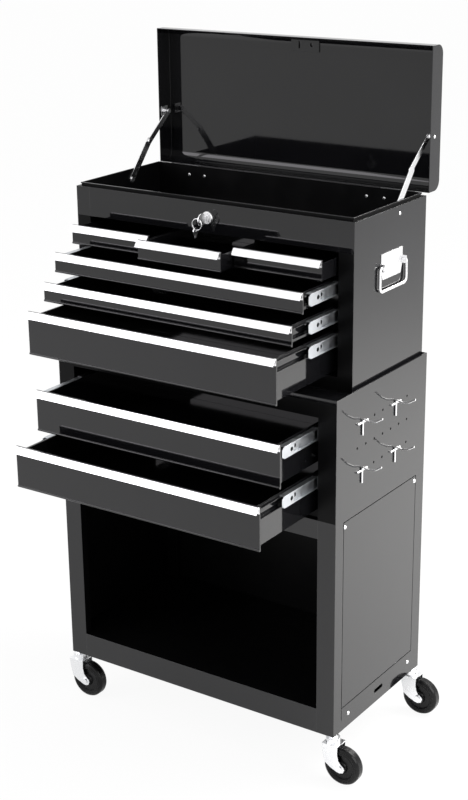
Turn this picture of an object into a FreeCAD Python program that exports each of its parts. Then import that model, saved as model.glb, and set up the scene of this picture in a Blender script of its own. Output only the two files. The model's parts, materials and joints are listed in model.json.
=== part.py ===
import FreeCAD, Part
import Sketcher
import math
import os
import re

# Rolling tool cabinet with a lift-off top chest, millimetres.
# Frame: x to the right, y to the back, z up, origin on the floor under the centre of the cabinet.

V = FreeCAD.Vector
doc = FreeCAD.newDocument("RollingToolCabinet")
sheet = doc.addObject("Spreadsheet::Sheet", "Sizes")
SIZES = {
    # General
    "gauge": 1,
    "seat_gap": 0.3,
    "pin_gap": 0.1,
    # Cabinet
    "cab_wide": 610,
    "cab_deep": 324,
    "cab_high": 646,
    "cab_lift": 94,
    "tray_drop": 8,
    "post_wide": 36.5,
    "lip_deep": 14,
    "sill_high": 48.5,
    "mid_low": 385,
    "mid_high": 35,
    "head_low": 610,
    "hem_thick": 2,
    "hem_high": 15,
    "infill_front": 28.5,
    "infill_deep": 263,
    "infill_low": 48,
    "infill_high": 365,
    "infill_gap": 2,
    "infill_lap": 8,
    "seam_low": 22,
    "peg_first_y": 71,
    "peg_first_z": 494,
    "peg_pitch_y": 29.87,
    "peg_pitch_z": 44.7,
    "peg_radius": 2.5,
    "oval_y": 165,
    "oval_z": 24,
    "oval_half": 12,
    "oval_radius": 4,
    # Casters
    "wheel_radius": 36.5,
    "wheel_wide": 24,
    "wheel_shoulder": 5,
    "caster_trail": 23,
    "stem_side": 8,
    "stem_front": 12.7,
    "stem_rear": 9.7,
    "stem_radius": 5,
    "axle_radius": 4,
    "fork_thick": 2,
    "fork_top": 78.5,
    "race_high": 9.6,
    "crown_half": 15,
    "crown_lead": 18,
    # Chest
    "tray_gap": 5,
    "chest_front": 65,
    "chest_deep": 254,
    "chest_high": 301,
    "chest_post": 30,
    "rim_inset": 6.7,
    "rim_front": 7.5,
    "rim_rear": 8,
    "rim_rise": 6,
    "rim_hem": 1.2,
    "well_deep": 61,
    "head_panel": 54,
    "chest_sill": 26,
    # Drawers
    "chest_reveal": 3,
    "cab_reveal": 4.5,
    "slide_room": 14,
    "front_edge": 3,
    "trim_drop": 11,
    "trim_out": 7.5,
    "trim_stand": 3,
    "trim_thick": 1.2,
    "trim_root": 12,
    "bead_radius": 2.2,
    "box_short": 6,
    "chest_box_deep": 236,
    "cab_box_deep": 300,
    "small_low": 844.5,
    "small_high": 36,
    "small_gap": 0.6,
    "small_deep": 200,
    "open_left": 57,
    "open_middle": 90,
    "open_right": 49,
    "one_low": 802,
    "one_high": 37,
    "one_open": 109,
    "two_low": 755,
    "two_high": 36,
    "two_open": 143,
    "three_low": 667,
    "three_high": 81,
    "three_open": 190,
    "four_low": 517,
    "four_high": 79,
    "four_open": 114,
    "five_low": 427,
    "five_high": 80,
    "five_open": 176.5,
    # Slides
    "slide_drop": 18.5,
    "slide_half": 11,
    "slide_deep": 10,
    "chest_nose": 90,
    "cab_nose": 107,
    "chest_slide": 232,
    "cab_slide": 296,
    "nose_back": 4,
    "nose_hole": 30,
    "nose_radius": 4,
    "nose_flat": 37,
    "web_inset": 4,
    # Lid
    "lid_over": 1,
    "lid_deep": 38,
    "lid_high": 258,
    "lid_round": 18,
    "pin_back": 5,
    "pin_low": 2,
    "pin_radius": 1.5,
    "knuckle_radius": 3,
    "hinge_short": 27,
    "leaf_high": 24,
    # Stays
    "stay_low_y": 222,
    "stay_low_z": 925,
    "elbow_y": 278.2,
    "elbow_z": 990.1,
    "stay_high_y": 342,
    "stay_high_z": 1040,
    "stay_thick": 1.5,
    "stay_wide": 15,
    "stay_slim": 11,
    # Lock
    "lock_z": 912.5,
    "lock_radius": 11.7,
    "lock_out": 5,
    "barrel_radius": 9.5,
    "plug_radius": 6.2,
    "key_thick": 1.8,
    "bow_radius": 11,
    "bow_out": 15,
    "ring_radius": 10,
    "ring_left": 5,
    "ring_wire": 0.9,
    # Bails
    "bail_y": 194,
    "bail_z": 842,
    "bail_half": 47,
    "bail_drop": 42,
    "bail_rod": 2.6,
    "bail_stand": 4.5,
    "bail_bend": 9,
    # Screws and hooks
    "screw_radius": 4,
    "screw_tip": 2.6,
    "screw_head": 1.8,
    "hook_radius": 1.75,
    "hook_half": 17.5,
    "hook_low": 24,
    "hook_out": 39,
    "hook_rise": 5,
    "hook_dip": 2,
    "hook_tip": 13,
}
aliases = list(SIZES)
for row, alias in enumerate(aliases, 1):
    sheet.set("A%d" % row, alias)
    sheet.set("B%d" % row, str(SIZES[alias]))
    sheet.setAlias("B%d" % row, alias)
doc.recompute()

WORDS = re.compile("[a-z][a-z0-9_]*")

# Widths that follow from the cabinet: chest in its tray, drawers between the posts, lid and hinge
CHEST_HALF = "(chest_wide / 2 - chest_post - chest_reveal)"
CAB_HALF = "(cab_wide / 2 - post_wide - cab_reveal)"
FOLLOW = {
    "chest_wide": "(cab_wide - 2 * (gauge + hem_thick + tray_gap))",
    "front_half": CHEST_HALF,
    "box_half": "(front_half - slide_room)",
    "small_half": "(front_half / 3)",
    "small_seam": "(front_half / 3 + small_gap)",
    "lid_wide": "(chest_wide + 2 * lid_over)",
    "hinge_half": "(chest_wide / 2 - hinge_short)",
}


def linked(text):
    for _ in range(3):
        text = WORDS.sub(lambda m: FOLLOW.get(m.group(0), m.group(0)), text)
    return WORDS.sub(lambda m: "Sizes." + m.group(0) if m.group(0) in aliases else m.group(0), text)


def number(text):
    return float(sheet.evalExpression(linked(text)))


def bind(thing, prop, text):
    thing.setExpression(prop, linked(text))


# Plain blocks between two corners
def box(name, x0, x1, y0, y1, z0, z1):
    block = doc.addObject("Part::Box", name)
    bind(block, "Length", "(%s) - (%s)" % (x1, x0))
    bind(block, "Width", "(%s) - (%s)" % (y1, y0))
    bind(block, "Height", "(%s) - (%s)" % (z1, z0))
    bind(block, "Placement.Base.x", x0)
    bind(block, "Placement.Base.y", y0)
    bind(block, "Placement.Base.z", z0)
    return block


TURN = {
    "x": FreeCAD.Rotation(V(0, 1, 0), 90),
    "y": FreeCAD.Rotation(V(1, 0, 0), -90),
    "z": FreeCAD.Rotation(),
}


# Round bars along one axis, from the given start over the given length
def rod(name, axis, x, y, z, radius, length):
    bar = doc.addObject("Part::Cylinder", name)
    bar.Placement = FreeCAD.Placement(V(), TURN[axis])
    bind(bar, "Radius", radius)
    bind(bar, "Height", length)
    bind(bar, "Placement.Base.x", x)
    bind(bar, "Placement.Base.y", y)
    bind(bar, "Placement.Base.z", z)
    return bar


def cone(name, axis, x, y, z, radius, tip, length):
    head = doc.addObject("Part::Cone", name)
    head.Placement = FreeCAD.Placement(V(), TURN[axis])
    bind(head, "Radius1", radius)
    bind(head, "Radius2", tip)
    bind(head, "Height", length)
    bind(head, "Placement.Base.x", x)
    bind(head, "Placement.Base.y", y)
    bind(head, "Placement.Base.z", z)
    return head


def fuse(name, *things):
    whole = doc.addObject("Part::MultiFuse", name)
    whole.Shapes = list(things)
    whole.Refine = True
    return whole


def cut(name, base, *tools):
    result = base
    for index, tool in enumerate(tools):
        step = doc.addObject("Part::Cut", name + ("_%d" % index if index < len(tools) - 1 else ""))
        step.Base = result
        step.Tool = tool
        result = step
    return result


def group(name, *things):
    whole = doc.addObject("Part::Compound", name)
    whole.Links = list(things)
    return whole


def mirrored(name, thing):
    other = doc.addObject("Part::Mirroring", name)
    other.Source = thing
    other.Normal = V(1, 0, 0)
    return other


# Sketches on the origin planes of a body
def plane(body, role):
    return [part for part in body.Origin.OriginFeatures if part.Role == role][0]


def sketch_on(body, name, role, level):
    sketch = body.newObject("Sketcher::SketchObject", name)
    sketch.AttachmentSupport = [(plane(body, role), "")]
    sketch.MapMode = "FlatFace"
    bind(sketch, "AttachmentOffset.Base.z", level)
    return sketch


def pin_point(sketch, index, end, u, v):
    for kind, text in (("DistanceX", u), ("DistanceY", v)):
        row = sketch.addConstraint(Sketcher.Constraint(kind, -1, 1, index, end, number(text)))
        bind(sketch, "Constraints[%d]" % row, text)


def loop(sketch, points):
    spots = [V(number(u), number(v), 0) for u, v in points]
    count = len(spots)
    first = sketch.GeometryCount
    for index in range(count):
        sketch.addGeometry(Part.LineSegment(spots[index], spots[(index + 1) % count]), False)
    for index in range(count):
        after = first + (index + 1) % count
        sketch.addConstraint(Sketcher.Constraint("Coincident", first + index, 2, after, 1))
    for index in range(count):
        pin_point(sketch, first + index, 1, *points[index])


def ring(sketch, u, v, radius):
    circle = Part.Circle(V(number(u), number(v), 0), V(0, 0, 1), number(radius))
    index = sketch.addGeometry(circle, False)
    row = sketch.addConstraint(Sketcher.Constraint("Radius", index, number(radius)))
    bind(sketch, "Constraints[%d]" % row, radius)
    pin_point(sketch, index, 3, u, v)


def rectangle(u0, u1, v0, v1):
    return [(u0, v0), (u1, v0), (u1, v1), (u0, v1)]


def new_body(name):
    return doc.addObject("PartDesign::Body", name)


def pad(body, name, role, level, length, loops=(), rings=(), middle=False, back=False):
    sketch = sketch_on(body, name + "_sketch", role, level)
    for points in loops:
        loop(sketch, points)
    for u, v, radius in rings:
        ring(sketch, u, v, radius)
    feature = body.newObject("PartDesign::Pad", name)
    feature.Profile = sketch
    feature.Midplane = middle
    feature.Reversed = back
    bind(feature, "Length", length)
    doc.recompute()
    return feature


def pocket(body, name, role, level, length, loops=(), rings=()):
    sketch = sketch_on(body, name + "_sketch", role, level)
    for points in loops:
        loop(sketch, points)
    for u, v, radius in rings:
        ring(sketch, u, v, radius)
    before = body.Shape.Volume
    feature = body.newObject("PartDesign::Pocket", name)
    feature.Profile = sketch
    feature.Midplane = True
    bind(feature, "Length", length)
    doc.recompute()
    if not body.Shape.Volume < before - 0.01:
        raise ValueError("nothing removed by " + name)
    return feature


# Rods bent in one plane: straight ends and round corners
def bent_rod(name, role, level, steps, end_role, end_level, end_u, end_v, radius):
    body = new_body(name)
    spine = sketch_on(body, name + "_path", role, level)
    u, v = steps[0]
    last = (u, v)
    previous = None
    for step in steps[1:]:
        start = V(number(last[0]), number(last[1]), 0)
        end = V(number(step[0]), number(step[1]), 0)
        if len(step) == 2:
            index = spine.addGeometry(Part.LineSegment(start, end), False)
            first_end, last_end = 1, 2
        else:
            centre = V(number(step[2]), number(step[3]), 0)
            bend = (start - centre).Length
            a = math.atan2(start.y - centre.y, start.x - centre.x)
            b = math.atan2(end.y - centre.y, end.x - centre.x)
            left = (start - centre).cross(end - centre).z > 0
            low, high = (a, b) if left else (b, a)
            if high < low:
                high += 2 * math.pi
            arc = Part.ArcOfCircle(Part.Circle(centre, V(0, 0, 1), bend), low, high)
            index = spine.addGeometry(arc, False)
            first_end, last_end = (1, 2) if left else (2, 1)
        if previous is None:
            pin_point(spine, index, first_end, *last)
        else:
            join = Sketcher.Constraint("Coincident", previous[0], previous[1], index, first_end)
            spine.addConstraint(join)
        pin_point(spine, index, last_end, step[0], step[1])
        if len(step) > 2:
            row = spine.addConstraint(
                Sketcher.Constraint("DistanceX", -1, 1, index, 3, number(step[2])))
            bind(spine, "Constraints[%d]" % row, step[2])
        previous = (index, last_end)
        last = (step[0], step[1])
    section = sketch_on(body, name + "_section", end_role, end_level)
    ring(section, end_u, end_v, radius)
    doc.recompute()
    pipe = body.newObject("PartDesign::AdditivePipe", name + "_pipe")
    pipe.Profile = section
    pipe.Spine = (spine, [])
    doc.recompute()
    return body


nodes = []


def node(label, thing):
    thing.Label = label
    nodes.append((label, thing))
    return thing


# Places used by several pieces
CAB_X = "(cab_wide / 2)"
CAB_F = "(-cab_deep / 2)"
CAB_R = "(cab_deep / 2)"
CAB_B = "(cab_lift)"
CAB_T = "(cab_lift + cab_high)"
POST_X = "(cab_wide / 2 - post_wide)"
TRAY = "(cab_lift + cab_high - tray_drop)"
SILL = "(cab_lift + sill_high)"
CH_X = "(chest_wide / 2)"
CH_F = "(chest_front - cab_deep / 2)"
CH_R = "(chest_front + chest_deep - cab_deep / 2)"
CH_B = "(cab_lift + cab_high - tray_drop + seat_gap)"
CH_T = "(cab_lift + cab_high - tray_drop + chest_high)"
CH_POST = "(chest_wide / 2 - chest_post)"
RIM_X = "(chest_wide / 2 - rim_inset)"
RIM_F = "(chest_front - cab_deep / 2 + rim_front)"
RIM_R = "(chest_front + chest_deep - cab_deep / 2 - rim_rear)"
WELL_B = "(cab_lift + cab_high - tray_drop + chest_high + rim_rise - well_deep)"
RIM_T = "(cab_lift + cab_high - tray_drop + chest_high + rim_rise)"


# Folded side panel: front post, side and rear return in one sheet, with inner lips
def side_panel(name, out, post, front, rear, low, high, lip_low, lip_high):
    body = new_body(name)
    inner = out + " - gauge"
    shell = [
        (post, front), (out, front), (out, rear), (post, rear),
        (post, rear + " - gauge"), (inner, rear + " - gauge"),
        (inner, front + " + gauge"), (post, front + " + gauge"),
    ]
    pad(body, name + "_sheet", "XY_Plane", low, "%s - %s" % (high, low), [shell])
    lips = [
        rectangle(post, post + " + gauge", front + " + gauge", front + " + gauge + lip_deep"),
        rectangle(post, post + " + gauge", rear + " - gauge - lip_deep", rear + " - gauge"),
    ]
    pad(body, name + "_lips", "XY_Plane", lip_low, "%s - (%s)" % (lip_high, lip_low), lips)
    return body


right = side_panel("CabinetSide", CAB_X, POST_X, CAB_F, CAB_R, CAB_B, CAB_T, CAB_B, TRAY + " - gauge")
hem = rectangle(CAB_X + " - gauge - hem_thick", CAB_X + " - gauge", CAB_F + " + gauge", CAB_R + " - gauge")
pad(right, "CabinetSide_hem", "XY_Plane", CAB_T + " - hem_high", "hem_high", [hem])
IN_F = "(infill_front - cab_deep / 2)"
IN_R = "(infill_front + infill_deep - cab_deep / 2)"
IN_B = "(cab_lift + infill_low)"
IN_T = "(cab_lift + infill_low + infill_high)"
window = rectangle(
    IN_F + " - infill_gap", IN_R + " + infill_gap", IN_B + " - infill_gap", IN_T + " + infill_gap")
pocket(right, "CabinetSide_window", "YZ_Plane", CAB_X, "4 * gauge", [window])
seam = rectangle(IN_F + " - infill_gap", IN_F, "cab_lift + seam_low", IN_B + " - infill_gap / 2")
pocket(right, "CabinetSide_seam", "YZ_Plane", CAB_X, "4 * gauge", [seam])
oval_ends = [
    ("oval_y - oval_half - cab_deep / 2", "cab_lift + oval_z", "oval_radius"),
]
pocket(right, "CabinetSide_oval", "YZ_Plane", CAB_X, "4 * gauge", (), oval_ends)
oval_rest = [
    ("oval_y + oval_half - cab_deep / 2", "cab_lift + oval_z", "oval_radius"),
]
pocket(right, "CabinetSide_oval_end", "YZ_Plane", CAB_X, "4 * gauge", (), oval_rest)
oval_mid = rectangle(
    "oval_y - oval_half - cab_deep / 2", "oval_y + oval_half - cab_deep / 2",
    "cab_lift + oval_z - oval_radius", "cab_lift + oval_z + oval_radius")
pocket(right, "CabinetSide_oval_mid", "YZ_Plane", CAB_X, "4 * gauge", [oval_mid])
column = []
for row in range(3):
    column.append((
        "peg_first_y - cab_deep / 2", "cab_lift + peg_first_z + %d * peg_pitch_z" % row, "peg_radius"))
pegs = pocket(right, "CabinetSide_pegs", "YZ_Plane", CAB_X, "4 * gauge", (), column)
rows = right.newObject("PartDesign::LinearPattern", "CabinetSide_peg_rows")
rows.Originals = [pegs]
rows.Direction = (pegs.Profile[0], ["H_Axis"])
rows.Occurrences = 7
bind(rows, "Length", "6 * peg_pitch_y")
right.Tip = rows
doc.recompute()
node("cabinet_side_right", right)
node("cabinet_side_left", mirrored("CabinetSideLeft", right))

# Back sheet with two inner returns
back = fuse(
    "CabinetBack",
    box("back_sheet", "-" + POST_X, POST_X, CAB_R + " - gauge", CAB_R, CAB_B, CAB_T),
    box("back_left", "-" + POST_X, "-" + POST_X + " + gauge",
        CAB_R + " - gauge - lip_deep", CAB_R + " - gauge", CAB_B, TRAY + " - gauge"),
    box("back_right", POST_X + " - gauge", POST_X,
        CAB_R + " - gauge - lip_deep", CAB_R + " - gauge", CAB_B, TRAY + " - gauge"))
node("cabinet_back", back)

# Sunken top tray with the front head rail
HEM_X = "(cab_wide / 2 - gauge - hem_thick)"
tray = fuse(
    "CabinetTray",
    box("tray_floor", "-" + HEM_X, HEM_X, CAB_F + " + gauge", CAB_R + " - gauge",
        TRAY + " - gauge", TRAY),
    box("tray_face", "-" + POST_X, POST_X, CAB_F, CAB_F + " + gauge", "cab_lift + head_low", CAB_T),
    box("tray_hem", "-" + HEM_X, HEM_X, CAB_F + " + gauge", CAB_F + " + gauge + hem_thick",
        TRAY + " - gauge", CAB_T),
    box("tray_return", "-" + POST_X, POST_X, CAB_F, CAB_F + " + lip_deep",
        "cab_lift + head_low", "cab_lift + head_low + gauge"))
node("cabinet_top_tray", tray)

# Raised floor of the lower compartment with its front sill and the closed underside
WING_X = "(cab_wide / 2 - 2 * gauge)"
base = fuse(
    "CabinetBase",
    box("floor_sheet", "-" + POST_X + " + gauge", POST_X + " - gauge", CAB_F, CAB_R + " - gauge",
        SILL + " - gauge", SILL),
    box("floor_wings", "-" + WING_X, WING_X, CAB_F + " + gauge + lip_deep",
        CAB_R + " - gauge - lip_deep", SILL + " - gauge", SILL),
    box("sill_face", "-" + POST_X, POST_X, CAB_F, CAB_F + " + gauge", CAB_B, SILL),
    box("sill_return", "-" + POST_X, POST_X, CAB_F, CAB_F + " + lip_deep", CAB_B, CAB_B + " + gauge"),
    box("pan_sheet", "-" + POST_X + " + gauge", POST_X + " - gauge", CAB_F + " + lip_deep",
        CAB_R + " - gauge", CAB_B, CAB_B + " + gauge"),
    box("pan_wings", "-" + WING_X, WING_X, CAB_F + " + gauge + 2 * lip_deep + 1",
        CAB_R + " - gauge - 2 * lip_deep - 1", CAB_B, CAB_B + " + gauge"),
    box("wing_left", "-" + WING_X, "-" + WING_X + " + gauge", CAB_F + " + gauge + lip_deep",
        CAB_R + " - gauge - lip_deep", "cab_lift + oval_z + 2 * oval_radius", SILL),
    box("wing_right", WING_X + " - gauge", WING_X, CAB_F + " + gauge + lip_deep",
        CAB_R + " - gauge - lip_deep", "cab_lift + oval_z + 2 * oval_radius", SILL))
node("cabinet_base", base)

# Rail between the lower drawers and the open compartment
MID_B = "(cab_lift + mid_low)"
MID_T = "(cab_lift + mid_low + mid_high)"
mid = fuse(
    "MidRail",
    box("mid_face", "-" + POST_X, POST_X, CAB_F, CAB_F + " + gauge", MID_B, MID_T),
    box("mid_top", "-" + POST_X, POST_X, CAB_F, CAB_F + " + lip_deep", MID_T + " - gauge", MID_T),
    box("mid_bottom", "-" + POST_X, POST_X, CAB_F, CAB_F + " + lip_deep", MID_B, MID_B + " + gauge"))
node("cabinet_mid_rail", mid)

# Inset panels in both sides, each lapping behind its window
panel = fuse(
    "InfillRight",
    box("infill_plate", CAB_X + " - gauge", CAB_X, IN_F, IN_R, IN_B, IN_T),
    box("infill_back", CAB_X + " - 2 * gauge", CAB_X + " - gauge",
        IN_F + " - infill_lap", IN_R + " + infill_lap", IN_B + " - infill_lap / 2", IN_T + " + infill_lap"))
node("cabinet_infill_panels", group("Infills", panel, mirrored("InfillLeft", panel)))

# Pan-head screws of the inset panels and the base skirt
screws = []
screw_spots = (
    ("infill_front + 4", "infill_low + infill_high - 9"),
    ("infill_front + infill_deep - 4", "infill_low + infill_high - 9"),
    ("infill_front + 24", "26"),
    ("infill_front + infill_deep - 11.5", "27.5"),
)
for index, (y, z) in enumerate(screw_spots):
    head = cone("screw_%d" % index, "x", CAB_X, y + " - cab_deep / 2", "cab_lift + " + z,
                "screw_radius", "screw_tip", "screw_head")
    screws.append(head)
    screws.append(mirrored("screw_left_%d" % index, head))
node("cabinet_panel_screws", group("Screws", *screws))

# Wire hooks pushed into the peg holes of the right side
hooks = []
PEG_X = "(cab_wide / 2 + hook_radius + 0.1)"
for index, (first, row) in enumerate(((0, 0), (0, 2), (4, 0), (4, 2))):
    middle = "(peg_first_y + %s * peg_pitch_y - cab_deep / 2)" % (first + 0.5)
    high = "(cab_lift + peg_first_z + %d * peg_pitch_z)" % row
    prong = bent_rod(
        "HookProng%d" % index, "XZ_Plane", "-(%s)" % middle,
        [(PEG_X, high), (PEG_X, high + " + hook_rise - 3"),
         (PEG_X + " + 3", high + " + hook_rise", PEG_X + " + 3", high + " + hook_rise - 3"),
         (PEG_X + " + 14", high + " + hook_rise - hook_dip"),
         (PEG_X + " + 26", high + " + hook_rise"),
         (PEG_X + " + hook_out", high + " + hook_tip")],
        "XY_Plane", high, PEG_X, middle, "hook_radius")
    bar = rod("hook_bar_%d" % index, "y", PEG_X, middle + " - hook_half", high,
              "hook_radius", "2 * hook_half")
    pins = [rod("hook_leg_%d" % index, "z", PEG_X, middle, high + " - hook_low", "hook_radius", "hook_low")]
    for side in (-1, 1):
        pins.append(rod(
            "hook_pin_%d_%d" % (index, side + 1), "x", CAB_X + " - 6",
            middle + " + %s * peg_pitch_y" % (side * 0.5), high, "hook_radius", "6 + hook_radius"))
    hooks.append(fuse("Hook%d" % index, prong, bar, *pins))
node("peg_hooks", group("Hooks", *hooks))

# Casters: corner plates and threaded stems stay with the cabinet
AXLE_Z = "wheel_radius"
NUT_B = "(fork_top + race_high + 0.3)"
STEM_FRONT = "(stem_front - cab_deep / 2)"
STEM_REAR = "(cab_deep / 2 - stem_rear)"
CORNERS = (
    ("front_left", "(stem_side - cab_wide / 2)", STEM_FRONT, -1),
    ("front_right", "(cab_wide / 2 - stem_side)", STEM_FRONT, 1),
    ("rear_left", "(stem_side - cab_wide / 2)", STEM_REAR, -1),
    ("rear_right", "(cab_wide / 2 - stem_side)", STEM_REAR, 1),
)


def hexagon(name, x, y, z, flats, high):
    prism = doc.addObject("Part::Prism", name)
    prism.Polygon = 6
    bind(prism, "Circumradius", "(%s) / 1.7320508" % flats)
    bind(prism, "Height", high)
    bind(prism, "Placement.Base.x", x)
    bind(prism, "Placement.Base.y", y)
    bind(prism, "Placement.Base.z", z)
    return prism


stems = []
for place, x, y, side in CORNERS:
    if side > 0:
        x0, x1 = POST_X + " + gauge", CAB_X + " - gauge"
    else:
        x0, x1 = "-" + CAB_X + " + gauge", "-" + POST_X + " - gauge"
    if place.startswith("front"):
        y0, y1 = CAB_F + " + gauge", CAB_F + " + gauge + 2 * lip_deep"
    else:
        y0, y1 = CAB_R + " - gauge - 2 * lip_deep", CAB_R + " - gauge"
    plate = cut(
        "corner_plate_" + place,
        box("corner_sheet_" + place, x0, x1, y0, y1, CAB_B, CAB_B + " + 3"),
        rod("corner_hole_" + place, "z", x, y, CAB_B + " - 1", "stem_radius", "5"))
    stems.append(plate)
    stems.append(fuse(
        "stem_" + place,
        rod("stem_bolt_" + place, "z", x, y, "fork_top - fork_thick - 1", "stem_radius",
            CAB_B + " + 13 - (fork_top - fork_thick - 1)"),
        rod("stem_rivet_" + place, "z", x, y, "fork_top - fork_thick - 3", "1.6 * stem_radius", "2.7"),
        hexagon("stem_nut_" + place, x, y, NUT_B, "15", CAB_B + " - " + NUT_B),
        hexagon("stem_top_" + place, x, y, CAB_B + " + 3", "12", "7")))
node("caster_stems", group("Stems", *stems))

# Forks: raceway, crown, two cheeks and the axle bolt
WHEEL_HALF = "(wheel_wide / 2 + 1.5)"
CHEEK = (
    ("(-crown_half)", "fork_top - fork_thick"), ("(2 - crown_half)", "fork_top - 18"),
    ("(6.5 - crown_half)", AXLE_Z + " + 4.5"), ("(caster_trail - 19)", AXLE_Z + " - 3.5"),
    ("(caster_trail - 7)", AXLE_Z + " - 8.5"), ("(caster_trail)", AXLE_Z + " - 10"),
    ("(caster_trail + 7)", AXLE_Z + " - 7.5"), ("(caster_trail + 10)", AXLE_Z),
    ("(caster_trail + 7.5)", AXLE_Z + " + 4.5"), ("(caster_trail + 1)", AXLE_Z + " + 9"),
    ("(caster_trail - 3)", AXLE_Z + " + 14.5"), ("(crown_lead - 0.5)", "fork_top - 16"),
    ("(crown_lead)", "fork_top - fork_thick"),
)
for place, x, y, side in CORNERS:
    fork = new_body("Fork_" + place)
    cheek = []
    for along, high in CHEEK:
        cheek.append((x + " + %s" % along, high))
    top = rectangle(x + " - crown_half", x + " + crown_lead", y + " - %s - fork_thick" % WHEEL_HALF,
                    y + " + %s + fork_thick" % WHEEL_HALF)
    pad(fork, "crown_" + place, "XY_Plane", "fork_top - fork_thick", "fork_thick", [top])
    pad(fork, "cheek_near_" + place, "XZ_Plane", "-(%s - %s)" % (y, WHEEL_HALF), "fork_thick", [cheek])
    pad(fork, "cheek_far_" + place, "XZ_Plane", "-(%s + %s + fork_thick)" % (y, WHEEL_HALF),
        "fork_thick", [cheek])
    pad(fork, "raceway_" + place, "XY_Plane", "fork_top", "race_high", (), [(x, y, "13")])
    pocket(fork, "stem_bore_" + place, "XY_Plane", "fork_top", "4 * fork_thick + 3 * race_high", (),
           [(x, y, "stem_radius + pin_gap")])
    axle = fuse(
        "axle_" + place,
        rod("axle_bolt_" + place, "y", x + " + caster_trail", y + " - %s - fork_thick - 3" % WHEEL_HALF,
            AXLE_Z, "axle_radius", "2 * (%s + fork_thick + 3)" % WHEEL_HALF),
        rod("axle_head_" + place, "y", x + " + caster_trail", y + " - %s - fork_thick - 4" % WHEEL_HALF,
            AXLE_Z, "6.5", "4"),
        rod("axle_nut_" + place, "y", x + " + caster_trail", y + " + %s + fork_thick" % WHEEL_HALF,
            AXLE_Z, "6.5", "4"))
    shell = cut("fork_shell_" + place, fork,
                rod("axle_bore_" + place, "y", x + " + caster_trail",
                    y + " - %s - fork_thick - 1" % WHEEL_HALF, AXLE_Z, "axle_radius",
                    "2 * (%s + fork_thick + 1)" % WHEEL_HALF))
    node("caster_fork_" + place, group("fork_set_" + place, shell, axle))

# Wheels turned from one section: tread with round shoulders, recessed face, hub
for place, x, y, side in CORNERS:
    wheel = new_body("Wheel_" + place)
    section = sketch_on(wheel, "wheel_section_" + place, "YZ_Plane", x + " + caster_trail")
    half = "wheel_wide / 2"
    loop(section, [
        (y + " - " + half, AXLE_Z + " + axle_radius + pin_gap"),
        (y + " + " + half, AXLE_Z + " + axle_radius + pin_gap"),
        (y + " + " + half, AXLE_Z + " + 11"),
        (y + " + %s - 4" % half, AXLE_Z + " + 13"),
        (y + " + %s - 4" % half, AXLE_Z + " + 23"),
        (y + " + %s - 1" % half, AXLE_Z + " + 25"),
        (y + " + %s - 1" % half, AXLE_Z + " + wheel_radius - wheel_shoulder"),
        (y + " + %s - 3" % half, AXLE_Z + " + wheel_radius - 1.6"),
        (y + " + %s - 6" % half, AXLE_Z + " + wheel_radius"),
        (y + " - %s + 6" % half, AXLE_Z + " + wheel_radius"),
        (y + " - %s + 3" % half, AXLE_Z + " + wheel_radius - 1.6"),
        (y + " - %s + 1" % half, AXLE_Z + " + wheel_radius - wheel_shoulder"),
        (y + " - %s + 1" % half, AXLE_Z + " + 25"),
        (y + " - %s + 4" % half, AXLE_Z + " + 23"),
        (y + " - %s + 4" % half, AXLE_Z + " + 13"),
        (y + " - " + half, AXLE_Z + " + 11"),
    ])
    axis = section.addGeometry(Part.LineSegment(V(-20, number(AXLE_Z), 0), V(20, number(AXLE_Z), 0)), True)
    pin_point(section, axis, 1, y + " - 20", AXLE_Z)
    pin_point(section, axis, 2, y + " + 20", AXLE_Z)
    doc.recompute()
    turn = wheel.newObject("PartDesign::Revolution", "wheel_turn_" + place)
    turn.Profile = section
    turn.ReferenceAxis = (section, ["Axis0"])
    turn.Angle = 360
    doc.recompute()
    node("caster_wheel_" + place, wheel)

# Chest sides with the shoulder that meets the raised rim
side = side_panel("ChestSide", CH_X, CH_POST, CH_F, CH_R, CH_B, CH_T, CH_B + " + gauge", WELL_B)
shoulder = rectangle(RIM_X, CH_X + " - gauge", CH_F + " + gauge", CH_R + " - gauge")
pad(side, "ChestSide_shoulder", "XY_Plane", CH_T + " - gauge", "gauge", [shoulder])
node("chest_side_right", side)
node("chest_side_left", mirrored("ChestSideLeft", side))

chest_back = fuse(
    "ChestBack",
    box("chest_back_sheet", "-" + CH_POST, CH_POST, CH_R + " - gauge", CH_R, CH_B, CH_T),
    box("chest_back_top", "-" + RIM_X, RIM_X, RIM_R, CH_R + " - gauge", CH_T + " - gauge", CH_T))
node("chest_back", chest_back)

chest_base = fuse(
    "ChestBase",
    box("chest_floor", "-" + CH_X + " + gauge", CH_X + " - gauge", CH_F + " + gauge", CH_R + " - gauge",
        CH_B, CH_B + " + gauge"),
    box("chest_sill", "-" + CH_POST, CH_POST, CH_F, CH_F + " + gauge", CH_B, CH_B + " + chest_sill"),
    box("chest_sill_top", "-" + CH_POST, CH_POST, CH_F, CH_F + " + 12",
        CH_B + " + chest_sill - gauge", CH_B + " + chest_sill"))
node("chest_base", chest_base)

LOCK_Z = "(cab_lift + lock_z)"
head_plate = cut(
    "ChestHead",
    fuse("chest_head_parts",
         box("chest_head_sheet", "-" + CH_POST, CH_POST, CH_F, CH_F + " + gauge", CH_T + " - head_panel", CH_T),
         box("chest_head_top", "-" + RIM_X, RIM_X, CH_F + " + gauge", RIM_F, CH_T + " - gauge", CH_T)),
    rod("chest_head_hole", "y", "0", CH_F + " - 5", LOCK_Z, "barrel_radius + pin_gap", "10"))
node("chest_front_panel", head_plate)

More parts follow.
